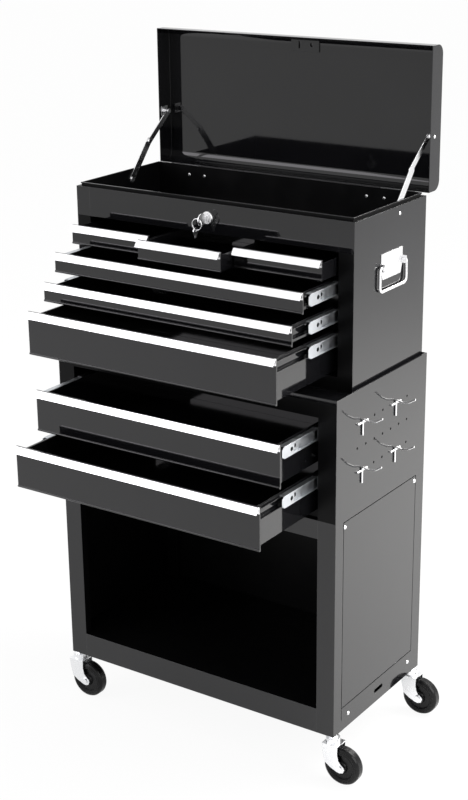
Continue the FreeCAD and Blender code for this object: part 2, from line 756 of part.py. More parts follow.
# Top well with its raised rim
well = cut(
    "ChestWell",
    fuse("well_blocks",
         box("well_block", "-" + RIM_X, RIM_X, RIM_F, RIM_R, WELL_B, RIM_T),
         box("well_hem", "-" + RIM_X + " - rim_hem", RIM_X + " + rim_hem", RIM_F + " - rim_hem",
             RIM_R + " + rim_hem", RIM_T + " - 2 * rim_hem", RIM_T)),
    box("well_room", "-" + RIM_X + " + gauge", RIM_X + " - gauge", RIM_F + " + gauge", RIM_R + " - gauge",
        WELL_B + " + gauge", RIM_T + " + gauge"),
    rod("well_hole", "y", "0", RIM_F + " - 5", LOCK_Z, "barrel_radius + pin_gap", "10"))
node("chest_well", well)

# Shelf and upright dividers that carry the three small drawers
SHELF = "(cab_lift + small_low - seat_gap)"
SHELF_F = CH_F + " + gauge + lip_deep"
SHELF_R = CH_R + " - gauge - lip_deep"
shelf = fuse(
    "ChestShelf",
    box("shelf_sheet", "-" + CH_X + " + gauge", CH_X + " - gauge", SHELF_F, SHELF_R, SHELF + " - gauge", SHELF),
    box("divider_left", "-small_seam", "-small_seam + gauge", SHELF_F, SHELF_R, SHELF, WELL_B),
    box("divider_right", "small_seam - gauge", "small_seam", SHELF_F, SHELF_R, SHELF, WELL_B))
node("chest_shelf", shelf)


# Pull trim: a strip leaning forward over the top of a drawer front
def trim(name, x0, x1, y, top):
    body = new_body(name)
    section = [
        (y, top), (y + " - trim_stand", top),
        (y + " - trim_stand - trim_out", top + " - trim_drop"),
        (y + " - trim_stand - trim_out + 1", top + " - trim_drop - 0.8"),
        (y + " - trim_stand + 0.6", top + " - trim_thick"), (y + " - trim_thick", top + " - trim_thick"),
        (y + " - trim_thick", top + " - trim_root"), (y, top + " - trim_root"),
    ]
    pad(body, name + "_strip", "YZ_Plane", x0, "%s - (%s)" % (x1, x0), [section])
    return body


# Drawer: folded tray with a shallow flanged front and a rolled lower edge
def drawer(name, x0, x1, bx0, bx1, y, low, high, deep):
    tray_part = cut(
        name + "_tray",
        box(name + "_block", bx0, bx1, y + " + gauge", y + " + " + deep, low, high + " - box_short"),
        box(name + "_room", bx0 + " + gauge", bx1 + " - gauge", y + " + 2 * gauge",
            y + " + %s - gauge" % deep, low + " + gauge", high + " + 1"))
    face = cut(
        name + "_face",
        box(name + "_front", x0, x1, y, y + " + front_edge", low, high),
        box(name + "_front_room", x0 + " + gauge", x1 + " - gauge", y + " + gauge",
            y + " + front_edge + 1", low + " + gauge", high + " - gauge"))
    bead = rod(name + "_bead", "x", x0, y + " + gauge / 2", low + " + bead_radius", "bead_radius",
               "%s - (%s)" % (x1, x0))
    return [tray_part, face, bead]


SMALL = (
    ("left", "-front_half", "-small_seam", "-front_half + 2", "-small_seam - 1.4", "open_left"),
    ("middle", "-small_half", "small_half", "-small_half + 2", "small_half - 2", "open_middle"),
    ("right", "small_seam", "front_half", "small_seam + 1.4", "front_half - 2", "open_right"),
)
for place, x0, x1, bx0, bx1, reach in SMALL:
    low = "(cab_lift + small_low)"
    high = "(cab_lift + small_low + small_high)"
    y = "(chest_front - cab_deep / 2 - %s)" % reach
    parts = drawer("Small_" + place, x0, x1, bx0, bx1, y, low, high, "small_deep")
    node("small_drawer_" + place, fuse("SmallDrawer_" + place, *parts))
    node("small_trim_" + place, trim("SmallTrim_" + place, x0, x1, y, high))

# Full-width drawers on three-part slides
WIDE = (
    ("chest_drawer_upper", "one", CH_F, "chest_nose", "chest_box_deep", "chest_slide", 12),
    ("chest_drawer_middle", "two", CH_F, "chest_nose", "chest_box_deep", "chest_slide", 12),
    ("chest_drawer_deep", "three", CH_F, "chest_nose", "chest_box_deep", "chest_slide", 12),
    ("cabinet_drawer_upper", "four", CAB_F, "cab_nose", "cab_box_deep", "cab_slide", 17),
    ("cabinet_drawer_lower", "five", CAB_F, "cab_nose", "cab_box_deep", "cab_slide", 17),
)
fixed = {"chest_nose": [], "cab_nose": []}
for label, key, face_y, nose, deep, run, tail in WIDE:
    FOLLOW["front_half"] = CHEST_HALF if nose == "chest_nose" else CAB_HALF
    low = "(cab_lift + %s_low)" % key
    high = "(cab_lift + %s_low + %s_high)" % (key, key)
    centre = "(cab_lift + %s_low + %s_high - slide_drop)" % (key, key)
    y = "(%s - %s_open)" % (face_y, key)
    parts = drawer(label, "-front_half", "front_half", "-box_half", "box_half", y, low, high, deep)
    web = box(label + "_web", "box_half", "box_half + gauge", y + " + nose_back", y + " + " + run,
              centre + " - slide_half + 1.3", centre + " + slide_half - 1.3")
    upper = box(label + "_upper", "box_half", "front_half - 6", y + " + nose_back", y + " + " + run,
                centre + " + slide_half - 2.3", centre + " + slide_half - 1.3")
    lower = box(label + "_lower", "box_half", "front_half - 6", y + " + nose_back", y + " + " + run,
                centre + " - slide_half + 1.3", centre + " - slide_half + 2.3")
    runner = fuse(label + "_runner", web, upper, lower)
    node(label, fuse(label + "_whole", *(parts + [runner, mirrored(label + "_runner_left", runner)])))
    node(label + "_trim", trim(label + "_strip", "-front_half", "front_half", y, high))
    # Middle slide member: channel with a plain nose and a sunken web behind it, one round hole in each
    n = "(%s - %s)" % (face_y, nose)
    member = new_body(label + "_member")
    channel = [
        ("front_half", centre + " - slide_half"), ("front_half", centre + " + slide_half"),
        ("front_half - slide_deep", centre + " + slide_half"),
        ("front_half - slide_deep", centre + " + slide_half - gauge"),
        ("front_half - gauge", centre + " + slide_half - gauge"),
        ("front_half - gauge", centre + " - slide_half + gauge"),
        ("front_half - slide_deep", centre + " - slide_half + gauge"),
        ("front_half - slide_deep", centre + " - slide_half"),
    ]
    pad(member, label + "_channel", "XZ_Plane", "-(%s + 7)" % n, run + " - 7", [channel], back=True)
    tongue = [
        (n, centre + " - slide_half + 4.5"), (n + " + 7", centre + " - slide_half + 1"),
        (n + " + 7", centre + " + slide_half - 1"), (n + " + 3.5", centre + " + slide_half - 1"),
        (n + " + 3.5", centre + " + slide_half - 3.5"), (n, centre + " + slide_half - 3.5"),
    ]
    pad(member, label + "_tongue", "YZ_Plane", "front_half - gauge", "gauge", [tongue])
    window = rectangle(n + " + nose_flat", n + " + %s + 1" % run,
                       centre + " - slide_half + 2 * gauge", centre + " + slide_half - 2 * gauge")
    pocket(member, label + "_window", "YZ_Plane", "front_half", "4 * gauge", [window])
    pocket(member, label + "_hole", "YZ_Plane", "front_half", "4 * gauge", (),
           [(n + " + nose_hole", centre, "nose_radius")])
    inner = rectangle("front_half - web_inset - gauge", "front_half - web_inset",
                      centre + " - slide_half + gauge / 2", centre + " + slide_half - gauge / 2")
    pad(member, label + "_inner_web", "XZ_Plane", "-(%s + nose_flat)" % n, run + " - nose_flat",
        [inner], back=True)
    ramp = rectangle("front_half - web_inset - gauge", "front_half",
                     centre + " - slide_half + gauge / 2", centre + " + slide_half - gauge / 2")
    pad(member, label + "_ramp", "XZ_Plane", "-(%s + nose_flat)" % n, "gauge", [ramp], back=True)
    pocket(member, label + "_second_hole", "YZ_Plane", "front_half - web_inset - gauge / 2",
           "3 * gauge", (), [(n + " + nose_hole + 16", centre, "nose_radius")])
    node(label + "_slides", group(label + "_pair", member, mirrored(label + "_member_left", member)))
    # Outer slide member, screwed to the inner lips front and rear
    post = CH_POST if nose == "chest_nose" else POST_X
    rear = CH_R if nose == "chest_nose" else CAB_R
    rear_x = post if nose == "chest_nose" else post + " - gauge"
    start = face_y + " + nose_back + 1"
    end = rear + " - gauge - 6"
    g = "front_half + seat_gap"
    h = "slide_half + seat_gap"
    outer = fuse(
        label + "_outer",
        box(label + "_o1", g, g + " + gauge", start, end, centre + " - %s" % h.replace(" +", " -") + " - gauge",
            centre + " + " + h + " + gauge"),
        box(label + "_o2", "front_half - slide_deep", g + " + gauge", start, end,
            centre + " + " + h, centre + " + " + h + " + gauge"),
        box(label + "_o3", "front_half - slide_deep", g + " + gauge", start, end,
            centre + " - slide_half - seat_gap - gauge", centre + " - slide_half - seat_gap"),
        box(label + "_o4", g, post, start, start + " + 8", centre + " - 8", centre + " + 8"),
        box(label + "_o5", g, rear_x, end + " - 8", end, centre + " - 8", centre + " + 8"))
    fixed[nose] += [outer, mirrored(label + "_outer_left", outer)]
node("chest_slide_outers", group("ChestOuters", *fixed["chest_nose"]))
node("cabinet_slide_outers", group("CabinetOuters", *fixed["cab_nose"]))

# Hinge line behind the chest
PIN_Y = "(chest_front + chest_deep + pin_back - cab_deep / 2)"
PIN_Z = "(cab_lift + cab_high - tray_drop + chest_high - pin_low)"
LID_F = "(chest_front + chest_deep + pin_back - cab_deep / 2 + 2.5)"
LID_R = "(chest_front + chest_deep + pin_back - cab_deep / 2 + 2.5 + lid_deep + 0.5)"
LID_B = "(cab_lift + cab_high - tray_drop + chest_high - pin_low + pin_back)"
LID_T = "(cab_lift + cab_high - tray_drop + chest_high - pin_low + pin_back + lid_high)"
LID_X = "(lid_wide / 2)"


# Closed section bound by lines and round corners, every joint of it placed
def rounded_loop(sketch, steps):
    first = sketch.GeometryCount
    count = len(steps)
    for index in range(count):
        u0, v0 = steps[index][0], steps[index][1]
        after = steps[(index + 1) % count]
        start = V(number(u0), number(v0), 0)
        end = V(number(after[0]), number(after[1]), 0)
        if len(after) == 2:
            sketch.addGeometry(Part.LineSegment(start, end), False)
            continue
        centre = V(number(after[2]), number(after[3]), 0)
        low = math.atan2(start.y - centre.y, start.x - centre.x)
        high = math.atan2(end.y - centre.y, end.x - centre.x)
        if high < low:
            high += 2 * math.pi
        circle = Part.Circle(centre, V(0, 0, 1), (start - centre).Length)
        sketch.addGeometry(Part.ArcOfCircle(circle, low, high), False)
    for index in range(count):
        after = first + (index + 1) % count
        sketch.addConstraint(Sketcher.Constraint("Coincident", first + index, 2, after, 1))
        pin_point(sketch, first + index, 1, steps[index][0], steps[index][1])
        follow = steps[(index + 1) % count]
        if len(follow) > 2:
            row = sketch.addConstraint(
                Sketcher.Constraint("DistanceX", -1, 1, first + index, 3, number(follow[2])))
            bind(sketch, "Constraints[%d]" % row, follow[2])


def lid_section(inset, front):
    y0 = front
    y1 = "(%s - %s)" % (LID_R, inset)
    z0 = "(%s + %s)" % (LID_B, inset)
    z1 = "(%s - %s)" % (LID_T, inset)
    r = "(lid_round - %s)" % inset
    return [
        (y0, z0), (y1 + " - " + r, z0),
        (y1, z0 + " + " + r, y1 + " - " + r, z0 + " + " + r),
        (y1, z1 + " - " + r),
        (y1 + " - " + r, z1, y1 + " - " + r, z1 + " - " + r),
        (y0, z1),
    ]


lid = new_body("Lid")
outer_sketch = sketch_on(lid, "Lid_outer_sketch", "YZ_Plane", "0")
rounded_loop(outer_sketch, lid_section("0", LID_F))
lid_block = lid.newObject("PartDesign::Pad", "Lid_block")
lid_block.Profile = outer_sketch
lid_block.Midplane = True
bind(lid_block, "Length", "lid_wide")
doc.recompute()
inner_sketch = sketch_on(lid, "Lid_inner_sketch", "YZ_Plane", "0")
rounded_loop(inner_sketch, lid_section("gauge", LID_F + " - 1"))
before = lid.Shape.Volume
lid_room = lid.newObject("PartDesign::Pocket", "Lid_room")
lid_room.Profile = inner_sketch
lid_room.Midplane = True
bind(lid_room, "Length", "lid_wide - 2 * gauge")
doc.recompute()
if not lid.Shape.Volume < before / 2:
    raise ValueError("lid not hollow")
CATCH_Y = "(%s - 3.5)" % LID_R
catch = rectangle("-14", "46", LID_T + " - 30", LID_T + " - 8.6")
pad(lid, "Lid_catch_plate", "XZ_Plane", "-" + CATCH_Y, "gauge", [catch], back=True)
struts = [
    rectangle("-14", "-13", LID_T + " - 30", LID_T + " - 8.6"),
    rectangle("45", "46", LID_T + " - 30", LID_T + " - 8.6"),
]
pad(lid, "Lid_catch_sides", "XZ_Plane", "-(%s + gauge)" % CATCH_Y, "2", struts, back=True)
pocket(lid, "Lid_catch_slot", "XZ_Plane", "-" + CATCH_Y, "3 * gauge",
       [rectangle("2", "7.5", LID_T + " - 25", LID_T + " - 11")])
pocket(lid, "Lid_catch_hole", "XZ_Plane", "-" + CATCH_Y, "3 * gauge", (),
       [("31", LID_T + " - 17", "4")])
node("lid_shell", lid)

# Long hinge: leaf, knuckles and pin on the chest, matching leaf and knuckles on the lid
KNUCKLES = 9
STEP = "(2 * hinge_half / %d)" % KNUCKLES
fixed_parts = [box("hinge_leaf", "-hinge_half", "hinge_half", CH_R, CH_R + " + gauge",
                   PIN_Z + " - 2 - leaf_high", PIN_Z + " - 2")]
moving_parts = [box("hinge_lid_leaf", "-hinge_half", "hinge_half", PIN_Y + " + 1", PIN_Y + " + leaf_high",
                    LID_B + " - gauge", LID_B)]
bores = []
for index in range(KNUCKLES):
    x0 = "-hinge_half + %d * %s + seat_gap" % (index, STEP)
    x1 = "-hinge_half + %d * %s - seat_gap" % (index + 1, STEP)
    roll = rod("knuckle_%d" % index, "x", x0, PIN_Y, PIN_Z, "knuckle_radius", "%s - (%s)" % (x1, x0))
    if index % 2 == 0:
        web = box("knuckle_web_%d" % index, x0, x1, CH_R, PIN_Y + " - pin_radius", PIN_Z + " - 3", PIN_Z + " - 1")
        fixed_parts += [roll, web]
    else:
        web = box("knuckle_web_%d" % index, x0, x1, PIN_Y + " + 1", PIN_Y + " + 3", PIN_Z + " + pin_radius", LID_B)
        bore = rod("knuckle_bore_%d" % index, "x", x0 + " - 1", PIN_Y, PIN_Z, "pin_radius + pin_gap",
                   "%s - (%s) + 2" % (x1, x0))
        moving_parts.append(cut("knuckle_hollow_%d" % index, fuse("knuckle_solid_%d" % index, roll, web), bore))
fixed_parts.append(rod("hinge_pin", "x", "-hinge_half", PIN_Y, PIN_Z, "pin_radius", "2 * hinge_half"))
node("lid_hinge_fixed", fuse("HingeFixed", *fixed_parts))

# Stays: lower links on the well, upper links on the lid
LOW_Y = "(stay_low_y - cab_deep / 2)"
LOW_Z = "(cab_lift + stay_low_z)"
ELB_Y = "(elbow_y - cab_deep / 2)"
ELB_Z = "(cab_lift + elbow_z)"
TOP_Y = "(stay_high_y - cab_deep / 2)"
TOP_Z = "(cab_lift + stay_high_z)"
WELL_X = "(chest_wide / 2 - rim_inset - gauge)"
LOWER_X = "(chest_wide / 2 - rim_inset - gauge - seat_gap - stay_thick)"
UPPER_X = "(chest_wide / 2 - rim_inset - gauge - seat_gap - 2 * stay_thick - 0.4)"


def link(name, x, y0, z0, y1, z1, wide, bore_y, bore_z, thick):
    run = "sqrt((%s - %s) ^ 2 + (%s - %s) ^ 2)" % (y1, y0, z1, z0)
    ny = "(-(%s - %s) / %s * %s / 2)" % (z1, z0, run, wide)
    nz = "((%s - %s) / %s * %s / 2)" % (y1, y0, run, wide)
    body = new_body(name)
    strip = [
        (y0 + " + " + ny, z0 + " + " + nz), (y0 + " - " + ny, z0 + " - " + nz),
        (y1 + " - " + ny, z1 + " - " + nz), (y1 + " + " + ny, z1 + " + " + nz),
    ]
    pad(body, name + "_strip", "YZ_Plane", x, thick, [strip])
    whole = fuse(name + "_ends", body,
                 rod(name + "_end_a", "x", x, y0, z0, "%s / 2" % wide, thick),
                 rod(name + "_end_b", "x", x, y1, z1, "%s / 2" % wide, thick))
    return cut(name + "_bored", whole,
               rod(name + "_bore", "x", x + " - 1", bore_y, bore_z, "2.5 + pin_gap", thick + " + 2"))


lower_link = link("LowerLink", LOWER_X, LOW_Y, LOW_Z, ELB_Y, ELB_Z, "stay_wide", LOW_Y, LOW_Z, "stay_thick")
upper_bare = link("UpperLink", UPPER_X, TOP_Y, TOP_Z, ELB_Y, ELB_Z, "stay_slim", TOP_Y, TOP_Z, "stay_thick")
elbow_head = rod("elbow_head", "x", UPPER_X + " - 1.2", ELB_Y, ELB_Z, "4.5", "1.2")
upper_link = fuse("UpperLinkWhole", upper_bare, elbow_head)
node("stay_links_lower", group("LowerLinks", lower_link, mirrored("LowerLinkLeft", lower_link)))
node("stay_links_upper", group("UpperLinks", upper_link, mirrored("UpperLinkLeft", upper_link)))
stud = fuse(
    "LidStud",
    rod("lid_stud_pin", "x", UPPER_X + " - 1.6", TOP_Y, TOP_Z, "2.5",
        LID_X + " - gauge - (%s - 1.6)" % UPPER_X),
    rod("lid_stud_head", "x", UPPER_X + " - 1.6", TOP_Y, TOP_Z, "4.5", "1.3"),
    rod("lid_stud_shoulder", "x", UPPER_X + " + stay_thick + 0.3", TOP_Y, TOP_Z, "4.5",
        LID_X + " - gauge - (%s + stay_thick + 0.3)" % UPPER_X),
    box("lid_stud_plate", LID_X + " - 2 * gauge", LID_X + " - gauge", TOP_Y + " - 10", TOP_Y + " + 10",
        TOP_Z + " - 9", TOP_Z + " + 9"))
lid_rivet = cone("lid_rivet", "x", LID_X, TOP_Y, TOP_Z, "3.2", "2", "1.2")
node("lid_fittings", group(
    "LidFittings", fuse("HingeMoving", *moving_parts), stud, mirrored("LidStudLeft", stud),
    lid_rivet, mirrored("LidRivetLeft", lid_rivet)))

# Bail handle plates with their ears, stay studs and rivets of the chest
BAIL_C = "(bail_y - cab_deep / 2)"
BAIL_Z = "(cab_lift + bail_z)"
BAIL_X = "(chest_wide / 2 + bail_stand)"
plate = new_body("HandlePlate")
outline = [
    (BAIL_C + " - 32", BAIL_Z + " - 23"), (BAIL_C + " + 32", BAIL_Z + " - 23"),
    (BAIL_C + " + bail_half - 10", BAIL_Z + " - 7"), (BAIL_C + " + bail_half - 7", BAIL_Z + " - 7"),
    (BAIL_C + " + bail_half - 7", BAIL_Z + " + 7"), (BAIL_C + " + bail_half - 9", BAIL_Z + " + 7"),
    (BAIL_C + " + 38", BAIL_Z + " + 23"), (BAIL_C + " - 38", BAIL_Z + " + 23"),
    (BAIL_C + " - bail_half + 9", BAIL_Z + " + 7"), (BAIL_C + " - bail_half + 7", BAIL_Z + " + 7"),
    (BAIL_C + " - bail_half + 7", BAIL_Z + " - 7"), (BAIL_C + " - bail_half + 10", BAIL_Z + " - 7"),
]
pad(plate, "HandlePlate_sheet", "YZ_Plane", CH_X, "1.5 * gauge", [outline])
ears = [
    rectangle(CH_X, CH_X + " + 9", BAIL_C + " - bail_half + 7", BAIL_C + " - bail_half + 8.5"),
    rectangle(CH_X, CH_X + " + 9", BAIL_C + " + bail_half - 8.5", BAIL_C + " + bail_half - 7"),
]
pad(plate, "HandlePlate_ears", "XY_Plane", BAIL_Z + " - 7", "14", ears)
pocket(plate, "HandlePlate_bores", "XZ_Plane", "-" + BAIL_C, "3 * bail_half", (),
       [(BAIL_X, BAIL_Z, "bail_rod + pin_gap")])
plate_parts = [plate]
for index, (dy, dz) in enumerate(((-28, -16), (28, -16), (-30, 16), (30, 16))):
    plate_parts.append(cone(
        "plate_rivet_%d" % index, "x", CH_X + " + 1.5 * gauge", BAIL_C + " + %d" % dy,
        BAIL_Z + " + %d" % dz, "3", "1.8", "1.2"))
plate_whole = fuse("HandlePlateWhole", *plate_parts)
chest_stud = fuse(
    "ChestStud",
    rod("chest_stud_pin", "x", LOWER_X + " - 1.6", LOW_Y, LOW_Z, "2.5", "1.9 + stay_thick + seat_gap - 0.3"),
    rod("chest_stud_head", "x", LOWER_X + " - 1.6", LOW_Y, LOW_Z, "4.5", "1.3"))
rivet_parts = []
for index, x in enumerate((180, 216)):
    for side in (-1, 1):
        rivet_parts.append(cone(
            "well_rivet_%d_%d" % (index, side + 1), "y", "%d" % (side * x), RIM_R + " - gauge - 1.2",
            "cab_lift + 926.5", "1.8", "3", "1.2"))
outer_stud = cone("outer_stud", "x", CH_X, LOW_Y, LOW_Z, "3.2", "2", "1.2")
node("chest_fittings", group(
    "ChestFittings", plate_whole, mirrored("HandlePlateLeft", plate_whole), chest_stud,
    mirrored("ChestStudLeft", chest_stud), outer_stud, mirrored("OuterStudLeft", outer_stud), *rivet_parts))

# Bails hanging against the chest sides
steps = [
    (BAIL_C + " - bail_half + 12", BAIL_Z), (BAIL_C + " - bail_half + 5", BAIL_Z),
    (BAIL_C + " - bail_half", BAIL_Z + " - 5", BAIL_C + " - bail_half + 5", BAIL_Z + " - 5"),
    (BAIL_C + " - bail_half", BAIL_Z + " - bail_drop + bail_bend"),
    (BAIL_C + " - bail_half + bail_bend", BAIL_Z + " - bail_drop",
     BAIL_C + " - bail_half + bail_bend", BAIL_Z + " - bail_drop + bail_bend"),
    (BAIL_C + " + bail_half - bail_bend", BAIL_Z + " - bail_drop"),
    (BAIL_C + " + bail_half", BAIL_Z + " - bail_drop + bail_bend",
     BAIL_C + " + bail_half - bail_bend", BAIL_Z + " - bail_drop + bail_bend"),
    (BAIL_C + " + bail_half", BAIL_Z + " - 5"),
    (BAIL_C + " + bail_half - 5", BAIL_Z, BAIL_C + " + bail_half - 5", BAIL_Z + " - 5"),
    (BAIL_C + " + bail_half - 12", BAIL_Z),
]
bail = bent_rod("Bail", "YZ_Plane", BAIL_X, steps, "XZ_Plane", "-(%s - bail_half + 12)" % BAIL_C,
                BAIL_X, BAIL_Z, "bail_rod")
node("bail_right", bail)
node("bail_left", mirrored("BailLeft", bail))

# Cylinder lock through the head panel: body, turning plug with cam, key, ring with spare key
LOCK_F = "(chest_front - cab_deep / 2 - lock_out)"
lock_parts = fuse(
    "LockParts",
    cone("lock_bezel", "y", "0", LOCK_F, LOCK_Z, "lock_radius - 1.5", "lock_radius", "2"),
    rod("lock_collar", "y", "0", LOCK_F + " + 2", LOCK_Z, "lock_radius", "lock_out - 2"),
    rod("lock_barrel", "y", "0", LOCK_F, LOCK_Z, "barrel_radius", "lock_out + rim_front + 10"),
    rod("lock_nut", "y", "0", CH_F + " + gauge", LOCK_Z, "13", "3"))
lock_body = cut("LockBody", lock_parts,
                rod("lock_bore", "y", "0", LOCK_F + " - 1", LOCK_Z, "plug_radius + pin_gap", "40"))
node("lock_body", lock_body)
plug = cut(
    "LockPlug",
    fuse("plug_parts",
         rod("plug_round", "y", "0", LOCK_F + " - 0.4", LOCK_Z, "plug_radius", "lock_out + rim_front + 12"),
         box("plug_cam", "-4", "4", LOCK_F + " + lock_out + rim_front + 10.4",
             LOCK_F + " + lock_out + rim_front + 12", LOCK_Z + " - 6", LOCK_Z + " + 20")),
    box("plug_keyway", "-key_thick / 2 - 0.2", "key_thick / 2 + 0.2", LOCK_F + " - 2", LOCK_F + " + 15",
        LOCK_Z + " - 4.2", LOCK_Z + " + 4.2"))
node("lock_plug", plug)
BOW_Y = "(chest_front - cab_deep / 2 - lock_out - bow_out)"
RING_Y = "(chest_front - cab_deep / 2 - lock_out - bow_out - 7)"
key_solid = cut(
    "Key",
    fuse("key_parts",
         rod("key_bow", "x", "-key_thick / 2", BOW_Y, LOCK_Z, "bow_radius", "key_thick"),
         box("key_blade", "-key_thick / 2", "key_thick / 2", BOW_Y + " + 6", LOCK_F + " + 14",
             LOCK_Z + " - 3.9", LOCK_Z + " + 3.9")),
    rod("key_eye", "x", "-key_thick", RING_Y, LOCK_Z, "3.2", "2 * key_thick"))
node("lock_key", key_solid)
split = doc.addObject("Part::Torus", "split_ring")
split.Placement = FreeCAD.Placement(V(), FreeCAD.Rotation(V(1, 0, 0), 90))
bind(split, "Radius1", "ring_radius")
bind(split, "Radius2", "ring_wire")
bind(split, "Placement.Base.x", "-ring_left")
bind(split, "Placement.Base.y", RING_Y)
RING_Z = "(cab_lift + lock_z + 1.2 - sqrt(ring_radius ^ 2 - ring_left ^ 2))"
bind(split, "Placement.Base.z", RING_Z)
SPARE_X = "(-ring_left - 3)"
SPARE_Z = "(%s - sqrt(ring_radius ^ 2 - 9))" % RING_Z
spare = cut(
    "SpareKey",
    fuse("spare_parts",
         rod("spare_bow", "x", SPARE_X + " - key_thick / 2", RING_Y, SPARE_Z + " - 3", "7", "key_thick"),
         box("spare_blade", SPARE_X + " - key_thick / 2", SPARE_X + " + key_thick / 2", RING_Y + " - 2.6",
             RING_Y + " + 2.6", LOCK_Z + " - 31.2", SPARE_Z + " - 5")),
    rod("spare_eye", "x", SPARE_X + " - key_thick", RING_Y, SPARE_Z + " - 0.9", "2.4", "2 * key_thick"))
node("key_ring", group("KeyRing", split, spare))

# Final check of every object, then one file for each piece
doc.recompute()
for thing in doc.Objects:
    if "Invalid" in thing.State or "Error" in thing.State:
        raise ValueError("not built: " + thing.Name)
os.makedirs("parts", exist_ok=True)
for label, thing in nodes:
    shape = thing.Shape
    if shape.isNull() or not shape.isValid() or not shape.Solids:
        raise ValueError("bad shape: " + label)
    shape.exportStep("parts/" + label + ".step")
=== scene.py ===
import json
import math
import bmesh
import bpy
from mathutils import Matrix, Vector


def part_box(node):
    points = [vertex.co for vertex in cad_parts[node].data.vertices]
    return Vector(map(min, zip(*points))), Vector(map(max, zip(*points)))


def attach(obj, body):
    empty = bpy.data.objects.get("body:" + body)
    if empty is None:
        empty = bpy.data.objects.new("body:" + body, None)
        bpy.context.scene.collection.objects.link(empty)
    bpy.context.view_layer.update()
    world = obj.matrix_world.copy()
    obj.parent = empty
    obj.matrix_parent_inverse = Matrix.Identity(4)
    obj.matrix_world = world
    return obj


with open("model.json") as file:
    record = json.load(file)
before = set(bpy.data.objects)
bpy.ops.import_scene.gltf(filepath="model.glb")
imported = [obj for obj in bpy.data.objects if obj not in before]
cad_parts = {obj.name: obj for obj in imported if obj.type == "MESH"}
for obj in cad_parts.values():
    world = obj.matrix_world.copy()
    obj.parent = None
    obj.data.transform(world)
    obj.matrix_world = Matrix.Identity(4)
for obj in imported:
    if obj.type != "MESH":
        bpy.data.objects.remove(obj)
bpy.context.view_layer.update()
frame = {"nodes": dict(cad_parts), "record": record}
NODES = frame["nodes"]
SLOTS = {part["node"]: part["material_slot"] for part in frame["record"]["subparts"]}
BODIES = frame["record"]["behaviour"]["bodies"]
BODY_OF = {node: body for body, nodes in BODIES.items() for node in nodes}


# Node helpers
EVEN = (1, 1, 1)
WHITE = (1, 1, 1, 1)
# Places of the two inputs and the output that a mix node uses for each kind of value
MIX_SOCKETS = {"FLOAT": (2, 3, 0), "RGBA": (6, 7, 2)}


def new_material(name):
    material = bpy.data.materials.new(name)
    material.use_nodes = True
    tree = material.node_tree
    shader = tree.nodes["Principled BSDF"]
    return material, tree, shader


def noise(tree, scale, detail=3.0, stretch=EVEN):
    """Noise in the object's own coordinates, so it stays on the piece as it moves."""
    where = tree.nodes.new("ShaderNodeTexCoord")
    mapping = tree.nodes.new("ShaderNodeMapping")
    mapping.inputs["Scale"].default_value = stretch
    texture = tree.nodes.new("ShaderNodeTexNoise")
    texture.inputs["Scale"].default_value = scale
    texture.inputs["Detail"].default_value = detail
    tree.links.new(where.outputs["Object"], mapping.inputs["Vector"])
    tree.links.new(mapping.outputs["Vector"], texture.inputs["Vector"])
    return texture.outputs["Fac"]


def spread(tree, value, low, high, start=0.3, end=0.7):
    """Maps start..end of a value to low..high."""
    ramp = tree.nodes.new("ShaderNodeMapRange")
    ramp.inputs["From Min"].default_value = start
    ramp.inputs["From Max"].default_value = end
    ramp.inputs["To Min"].default_value = low
    ramp.inputs["To Max"].default_value = high
    tree.links.new(value, ramp.inputs["Value"])
    return ramp.outputs["Result"]


def tint(tree, value, dark, light):
    ramp = tree.nodes.new("ShaderNodeValToRGB")
    ramp.color_ramp.elements[0].color = (*dark, 1)
    ramp.color_ramp.elements[1].color = (*light, 1)
    tree.links.new(value, ramp.inputs["Fac"])
    return ramp.outputs["Color"]


def soft_normal(tree, radius):
    bevel = tree.nodes.new("ShaderNodeBevel")
    bevel.samples = 4
    bevel.inputs["Radius"].default_value = radius
    return bevel.outputs["Normal"]


def relief(tree, shader, value, distance, strength, edge):
    """Bump from a value, over edges that are softened by a small radius."""
    bump = tree.nodes.new("ShaderNodeBump")
    bump.inputs["Strength"].default_value = strength
    bump.inputs["Distance"].default_value = distance
    tree.links.new(value, bump.inputs["Height"])
    tree.links.new(soft_normal(tree, edge), bump.inputs["Normal"])
    tree.links.new(bump.outputs["Normal"], shader.inputs["Normal"])


def edge_mask(tree, radius):
    """One at sharp edges, zero on flat faces."""
    shape = tree.nodes.new("ShaderNodeNewGeometry")
    dot = tree.nodes.new("ShaderNodeVectorMath")
    dot.operation = "DOT_PRODUCT"
    tree.links.new(soft_normal(tree, radius), dot.inputs[0])
    tree.links.new(shape.outputs["Normal"], dot.inputs[1])
    return spread(tree, dot.outputs["Value"], low=1.0, high=0.0, start=0.75, end=0.99)


def set_or_link(tree, socket, value):
    """Sets a plain number or colour on a socket, or links another node's output to it."""
    if isinstance(value, tuple):
        socket.default_value = (*value, 1)
    elif isinstance(value, (int, float)):
        socket.default_value = value
    else:
        tree.links.new(value, socket)


def calculate(tree, operation, first, second=0.0):
    math_node = tree.nodes.new("ShaderNodeMath")
    math_node.operation = operation
    set_or_link(tree, math_node.inputs[0], first)
    set_or_link(tree, math_node.inputs[1], second)
    return math_node.outputs[0]


def room_mask(tree, room):
    """One inside a box that is even about x, zero outside."""
    half, front, rear, low, high = room
    where = tree.nodes.new("ShaderNodeTexCoord")
    split = tree.nodes.new("ShaderNodeSeparateXYZ")
    tree.links.new(where.outputs["Object"], split.inputs[0])
    mask = calculate(tree, "LESS_THAN", calculate(tree, "ABSOLUTE", split.outputs["X"]), half)
    for axis, operation, limit in (
            ("Y", "GREATER_THAN", front), ("Y", "LESS_THAN", rear),
            ("Z", "GREATER_THAN", low), ("Z", "LESS_THAN", high)):
        within = calculate(tree, operation, split.outputs[axis], limit)
        mask = calculate(tree, "MULTIPLY", mask, within)
    return mask


